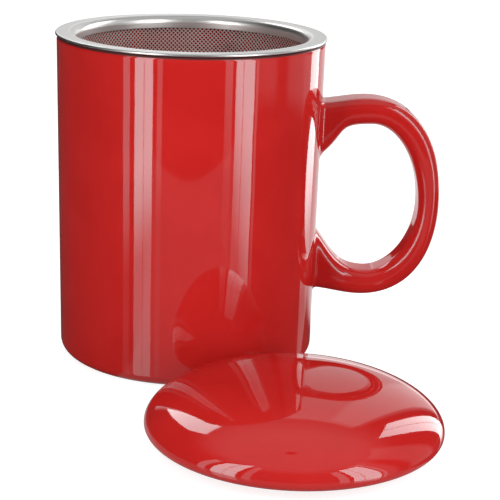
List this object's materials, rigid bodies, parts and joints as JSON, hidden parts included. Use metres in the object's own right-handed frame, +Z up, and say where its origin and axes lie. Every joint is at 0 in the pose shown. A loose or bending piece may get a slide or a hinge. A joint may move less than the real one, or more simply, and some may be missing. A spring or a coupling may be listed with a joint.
{
  "type": "lidded tea mug with infuser",
  "caption": "Red glazed ceramic tea mug with a C-shaped handle, a hanging steel mesh infuser and a loose domed ceramic lid.",
  "frame": {"origin": "middle of the mug's foot ring, on the surface it stands on", "axes": "+Z up along the mug's axis, +X towards the handle, -Y towards the side where the lid stands"},
  "size_m": [0.1215, 0.1608, 0.1018],
  "materials": {
    "red_glaze": "high-gloss transparent-over-red glaze, bare unglazed foot",
    "brushed_rim_steel": "satin, turned marks running round the flange",
    "bright_steel": "smooth rolled sheet",
    "woven_steel": "plain-woven bright wire"
  },
  "bodies": {
    "mug": {"mug_body": "red_glaze", "mug_handle": "red_glaze"},
    "infuser": {"infuser_rim": "brushed_rim_steel", "mesh_clamp_band": "bright_steel", "mesh_wall": "woven_steel", "base_ring": "bright_steel", "mesh_floor": "woven_steel"},
    "lid": {"lid": "red_glaze"}
  },
  "joints": [
    {"name": "infuser_lift", "type": "slide", "parent": "mug", "child": "infuser", "axis": [0, 0, 1], "range_m": [0, 0.085]},
    {"name": "lid_lift", "type": "slide", "parent": "mug", "child": "lid", "axis": [0.0194, -0.0486, 0.9986], "range_m": [0, 0.115]}
  ]
}
